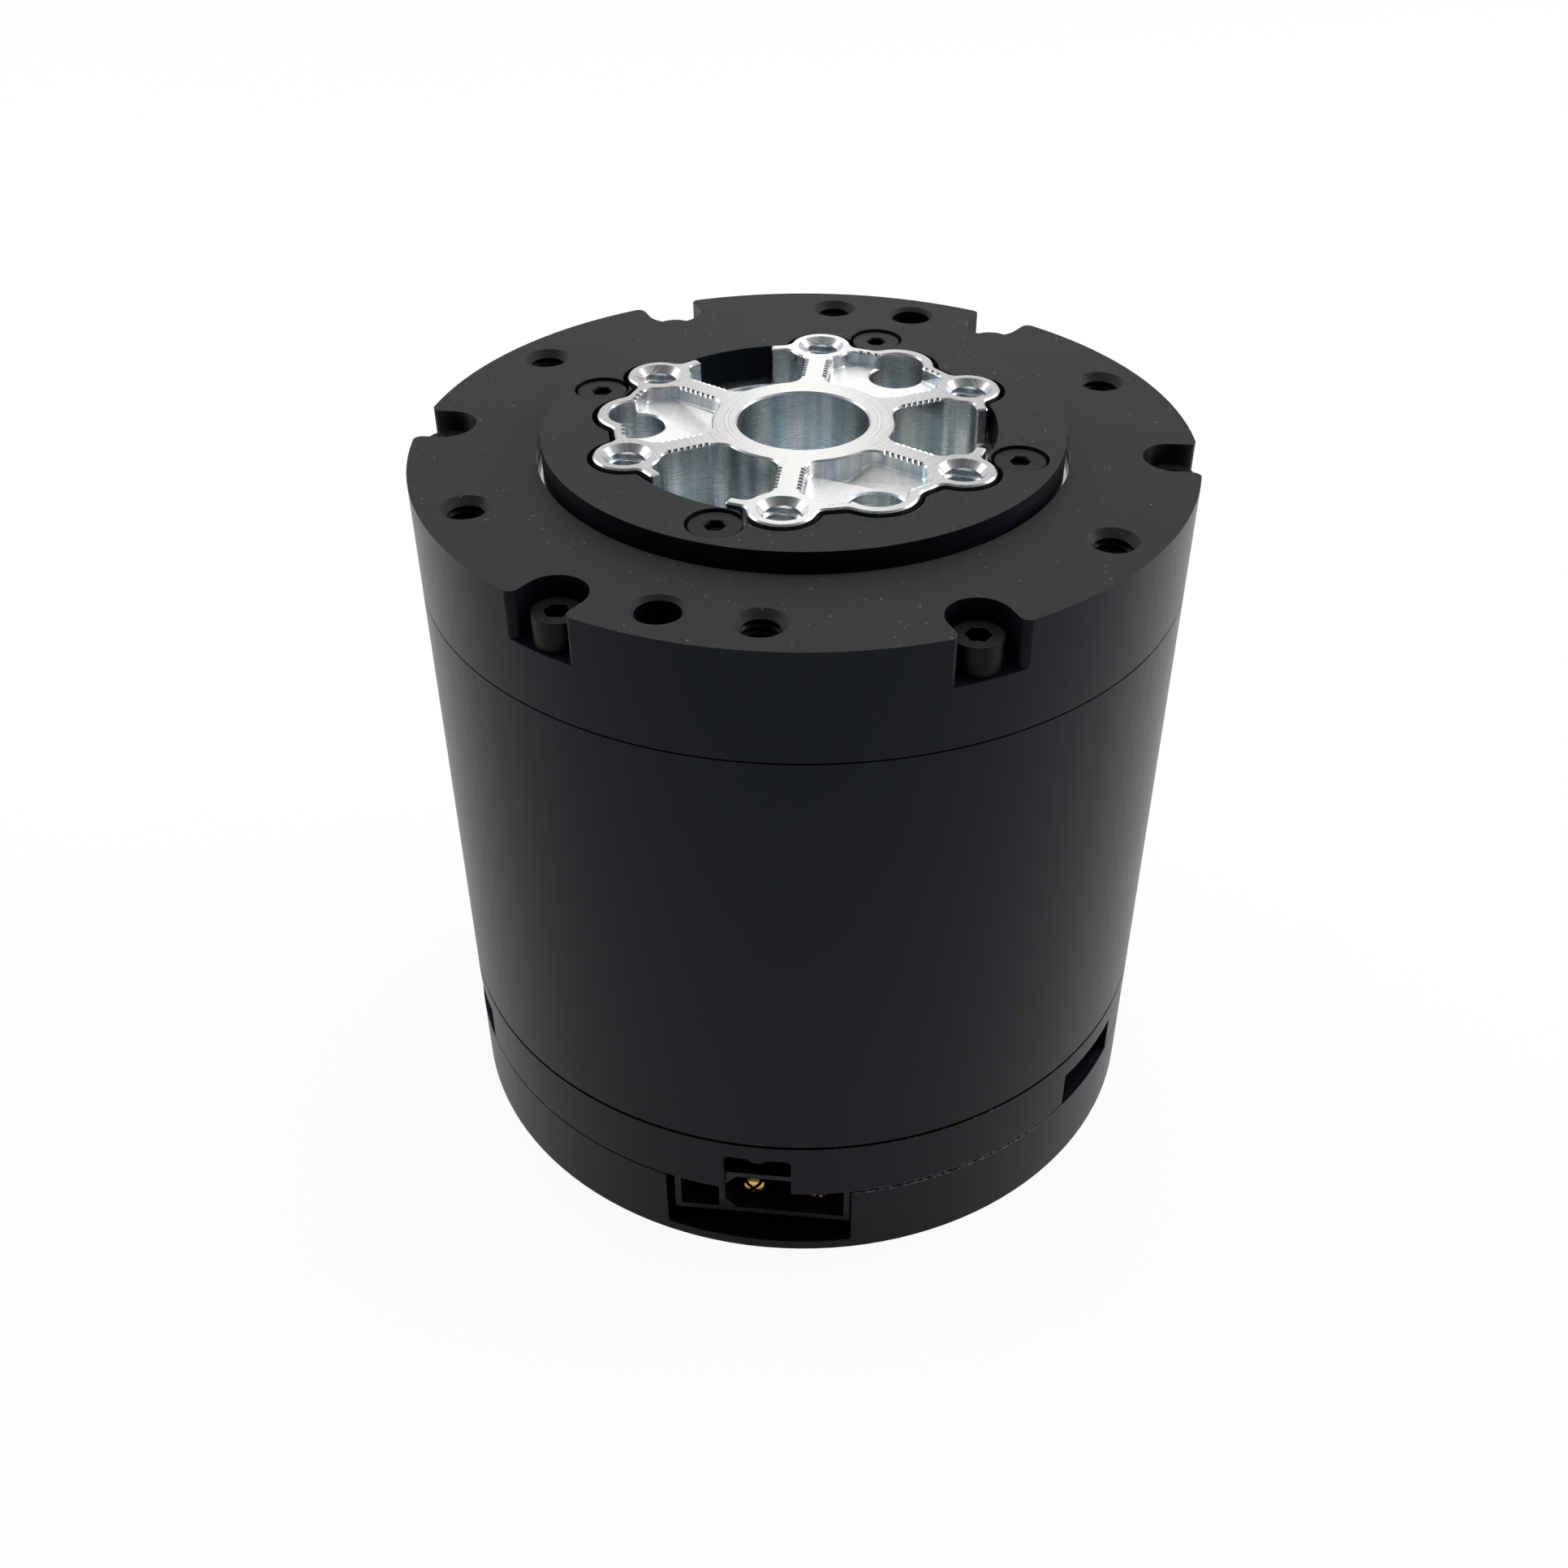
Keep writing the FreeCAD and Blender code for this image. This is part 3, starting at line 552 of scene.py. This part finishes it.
def makeFlange(v):
    flange = copyOf("front_flange", "flangeBody")
    breakEdges(flange, v["edge"], 2, 40)
    threadHoles(flange, v, v["tapCircle"], v["tapAngles"])
    mouths = [rod(v["dowelRadius"] - overlap, v["top"] - v["dowelSink"], v["top"] + past,
                  onCircle(v["tapCircle"], angle), 48, "mouth", v["dowelMouth"] + past)
              for angle in v["dowelAngles"]]
    cutAway(flange, mouths)
    finished(flange, "housing", "housing", ["front_flange"])
    # the faces that look up take the top finish, painted lighter as painted light from above
    faceFinish(flange, litBlastedTop, lambda middle, normal: normal.z > 0.3 and middle.z > v["top"] - 0.6)


carrierLook = {
    "top": heights("output_carrier")[1],
    "bossCircle": 13.3,
    "bossAngles": (30, 90, 150, 210, 270, 330),
    "tapRadius": 1.25,
    "tapMouth": 1.72,
    "tapSink": 0.5,
    "threadDepth": 0.24,
    "threadStart": 0.3,
    "threadLength": 6.5,
    "pitch": 0.5,
    "edge": 0.2,
    "pocketDepth": 1.9,
    "boreClear": 6.6,      # the pockets lie outside this radius
    "pocketRaise": 0.85,
    "markFrom": 6.6,
    "markTo": 12.7,
    "markPitch": 0.42,
    "markSize": 0.26,
    "markReach": 0.62,
}


def toolMarks(piece, v):
    # small nicks across the edges between the top face and the walls
    sides = {}
    for polygon in piece.data.polygons:
        for key in polygon.edge_keys:
            sides.setdefault(key, []).append(polygon.normal.z)
    cutters = []
    points = [vertex.co / mm for vertex in piece.data.vertices]
    for (first, second), normals in sides.items():
        a, b = points[first], points[second]
        onTop = min(a.z, b.z) > v["top"] - 0.01 and len(normals) == 2
        onTop = onTop and max(normals) > 0.9 > min(normals) + 0.4
        reach = ((a + b) / 2).xy.length
        if not onTop or not v["markFrom"] < reach < v["markTo"]:
            continue
        length = (b - a).length
        count = int(length / v["markPitch"])
        turn = math.atan2(b.y - a.y, b.x - a.x)
        for k in range(count):
            spot = a + (b - a) * ((k + 0.5) / count)
            pickNone()
            bpy.ops.mesh.primitive_cube_add(size=1.0, location=spot * mm, rotation=(0, math.pi / 4, turn))
            nick = bpy.context.object
            nick.scale = (v["markSize"] * mm, v["markReach"] * mm, v["markSize"] * mm)
            cutters.append(settle(nick))
    print("tool marks:", len(cutters))
    return cutters


def makeCarrier(v):
    carrier = copyOf("output_carrier", "outputCarrier")
    # the pockets' floors lie higher than in the CAD node
    pick(carrier)
    bpy.ops.object.mode_set(mode="EDIT")
    bpy.ops.mesh.select_mode(type="VERT")
    bpy.ops.mesh.select_all(action="DESELECT")
    bpy.ops.object.mode_set(mode="OBJECT")
    floor = v["top"] - v["pocketDepth"]
    for vertex in carrier.data.vertices:
        onFloor = abs(vertex.co.z / mm - floor) < 0.01
        vertex.select = onFloor and vertex.co.xy.length > v["boreClear"] * mm
    bpy.ops.object.mode_set(mode="EDIT")
    bpy.ops.transform.translate(value=(0, 0, v["pocketRaise"] * mm))
    bpy.ops.object.mode_set(mode="OBJECT")
    nicks = toolMarks(carrier, v)
    breakEdges(carrier, v["edge"], 1, 40)
    cutAway(carrier, nicks)
    threadHoles(carrier, v, v["bossCircle"], v["bossAngles"])
    finished(carrier, "output", "bare_aluminium", ["output_carrier"])
    faceFinish(carrier, milled, lambda middle, normal: normal.z > 0.5 and middle.z > v["top"] - 0.4)
    floor += v["pocketRaise"]
    # the floors of the pockets take the finish lifted as painted light
    faceFinish(carrier, pocketed, lambda middle, normal: normal.z > 0.9 and abs(middle.z - floor) < 0.2)


plainPieces = {
    # node: name, body, slot, edge width, segments
    "motor_sleeve": ("motorSleeve", "housing", "housing", 0.07, 1),
    "rear_ring": ("rearRing", "housing", "housing", 0.07, 1),
    "rear_cover": ("rearCover", "housing", "housing", 0.09, 2),
    "output_disc": ("outputDisc", "output", "housing", 0.16, 3),
    "disc_screws": ("discScrews", "output", "black_screws", 0.14, 3),
    "flange_screws": ("flangeScrews", "housing", "black_screws", 0.22, 3),
    "rear_screws": ("rearScrews", "housing", "black_screws", 0.18, 3),
    "connector_shell": ("connectorShell", "housing", "connector_plastic", 0.07, 2),
}
bodyRadius = round(cadBox[1][0] / mm, 3)
discTop = heights("output_disc")[1]
seams = {
    # node: the node over it, and the height and depth of the groove between them
    "motor_sleeve": ("front_flange", 0.12, 0.4),
    "rear_ring": ("motor_sleeve", 0.2, 0.6),
    "rear_cover": ("rear_ring", 0.12, 0.4),
}


def makePlain(table):
    for node, (name, body, slot, width, segments) in table.items():
        piece = copyOf(node, name)
        breakEdges(piece, width, segments, 40)
        if node in seams:
            above, height, depth = seams[node]
            seam = heights(above)[0]
            cutRing(piece, bodyRadius - depth, bodyRadius + 0.4, seam - height, seam + 0.2)
        finished(piece, body, slot, [node])
        if node == "output_disc":
            # the disc's top takes the top finish, painted lighter as painted light from above
            faceFinish(piece, litBlastedTop, lambda middle, normal: normal.z > 0.75 and middle.z > discTop - 0.2)
        print(name, len(piece.data.polygons), "faces")


pinLook = {"tip": 0.55, "front": -25.5, "radius": 1.0}


def makePins(v):
    pins = copyOf("power_pins", "powerPins")

    def frontRim(middle, along):
        # the round outer edge of the split tip
        if abs(along.y) > 0.01 or middle.y > v["front"] + 0.1:
            return False
        axisX = min(pinAxes, key=lambda x: abs(x - middle.x))
        reach = math.hypot(middle.x - axisX, middle.z - pinHeight)
        return reach > v["radius"] * 0.9

    low, high = (Vector(c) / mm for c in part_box("power_pins"))
    pinAxes = (low.x + v["radius"], high.x - v["radius"])
    pinHeight = (low.z + high.z) / 2
    v["front"] = low.y
    roundChosen(pins, frontRim, v["tip"], 4)
    return finished(pins, "housing", "contact_gold", ["power_pins"], 40)


makeFlange(flangeLook)
makeCarrier(carrierLook)
makePlain(plainPieces)
makePins(pinLook)
print("pieces made")


cameraPlace = {
    "at": (11.48, -112.12, 109.58),
    "ahead": (-0.0917, 0.7920, -0.6036),
    "roll": -0.005,
    "lens": 39.38,
    "sensor": 36.0,
}


def placeCamera(v):
    pickNone()
    bpy.ops.object.camera_add(location=[c * mm for c in v["at"]])
    camera = bpy.context.object
    ahead = Vector(v["ahead"]).normalized()
    right = ahead.cross(Vector((0, 0, 1))).normalized()
    up = right.cross(ahead)
    c, s = math.cos(v["roll"]), math.sin(v["roll"])
    rolledRight = c * right + s * up
    rolledUp = -s * right + c * up
    turn = Matrix((rolledRight, rolledUp, -ahead)).transposed()
    camera.rotation_euler = turn.to_euler()
    camera.data.lens = v["lens"]
    camera.data.sensor_width = v["sensor"]
    camera.data.clip_start = 0.001
    bpy.context.scene.camera = camera


lamps = {
    # name: place, aim, size x, size y (m), power (W), colour
    "overhead": ((0.0, 0.12, 0.6), (0, 0, 0.03), 0.5, 0.4, 1.9, (1, 1, 1)),
    "leftPanel": ((-0.5, 0.16, 0.16), (0, 0, 0.03), 0.3, 0.5, 1.4, (0.82, 0.91, 1)),
    "rightPanel": ((0.5, 0.2, 0.16), (0, 0, 0.03), 0.3, 0.5, 3.0, (0.95, 0.98, 1)),
    "backStrip": ((-0.046, 0.45, 0.27), (0, 0, 0.057), 0.045, 0.34, 0.055, (1, 1, 0.97)),
}


def placeLamps():
    for name, (place, aim, sizeX, sizeY, power, colour) in lamps.items():
        pickNone()
        bpy.ops.object.light_add(type="AREA", location=place)
        lamp = bpy.context.object
        lamp.name = name
        lamp.data.shape = "RECTANGLE"
        lamp.data.size = sizeX
        lamp.data.size_y = sizeY
        lamp.data.energy = power
        lamp.data.color = colour
        lamp.rotation_euler = (Vector(aim) - Vector(place)).to_track_quat("-Z", "Y").to_euler()


room = {
    "front": (0.12, 0.135, 0.155, 1),    # the dim side that the object faces
    "back": (0.86, 0.87, 0.88, 1),
    "turnFrom": -0.5,      # direction's y, from dim to bright
    "turnTo": 0.45,
    "floorColour": (0.8, 0.8, 0.8, 1),
    "floorGlow": 0.93,     # how white the camera sees the floor
    "floorShine": 0.42,    # and how white a gloss shows it
}


class Stage(Graph):
    # nodes of the world or the floor, which have no Principled shader
    def __init__(self, tree, outKind):
        self.tree = tree
        tree.nodes.clear()
        self.out = tree.nodes.new(outKind)

    def end(self, shader):
        self.tree.links.new(shader.socket, self.out.inputs[0])


def placeWorld(v):
    world = bpy.data.worlds.new("studio")
    bpy.context.scene.world = world
    world.use_nodes = True
    g = Stage(world.node_tree, "ShaderNodeOutputWorld")
    direct = g.add("ShaderNodeLightPath", output="Is Camera Ray") + \
        g.add("ShaderNodeLightPath", output="Is Transmission Ray")
    y = g.axes(g.add("ShaderNodeTexCoord", output="Generated"))[1]
    bright = g.add("ShaderNodeMapRange", {"interpolation_type": "SMOOTHSTEP"},
                   {"Value": y, "From Min": v["turnFrom"], "From Max": v["turnTo"]})
    white = g.add("ShaderNodeBackground", None, {0: (1, 1, 1, 1), 1: 1.0})
    studio = g.add("ShaderNodeBackground", None, {0: g.mix(bright, v["front"], v["back"]), 1: 1.0})
    g.end(g.add("ShaderNodeMixShader", None, {0: direct, 1: studio, 2: white}))


def placeFloor(v):
    pickNone()
    bpy.ops.mesh.primitive_plane_add(size=4.0, location=(0, 0, -0.0002))
    floor = named(settle(bpy.context.object), "floor")
    material = bpy.data.materials.new("paleFloor")
    material.use_nodes = True
    g = Stage(material.node_tree, "ShaderNodeOutputMaterial")
    share = g.add("ShaderNodeLightPath", output="Is Camera Ray") * v["floorGlow"] + \
        g.add("ShaderNodeLightPath", output="Is Glossy Ray") * v["floorShine"] + \
        g.add("ShaderNodeLightPath", output="Is Transmission Ray") * v["floorGlow"]
    matt = g.add("ShaderNodeBsdfDiffuse", None, {0: v["floorColour"]})
    glow = g.add("ShaderNodeEmission", None, {0: (1, 1, 1, 1), 1: 1.0})
    g.end(g.add("ShaderNodeMixShader", None, {0: share, 1: matt, 2: glow}))
    floor.data.materials.append(material)


placeCamera(cameraPlace)
placeLamps()
placeWorld(room)
placeFloor(room)
bpy.context.scene.view_settings.view_transform = "Standard"
print("camera, lamps and floor placed")
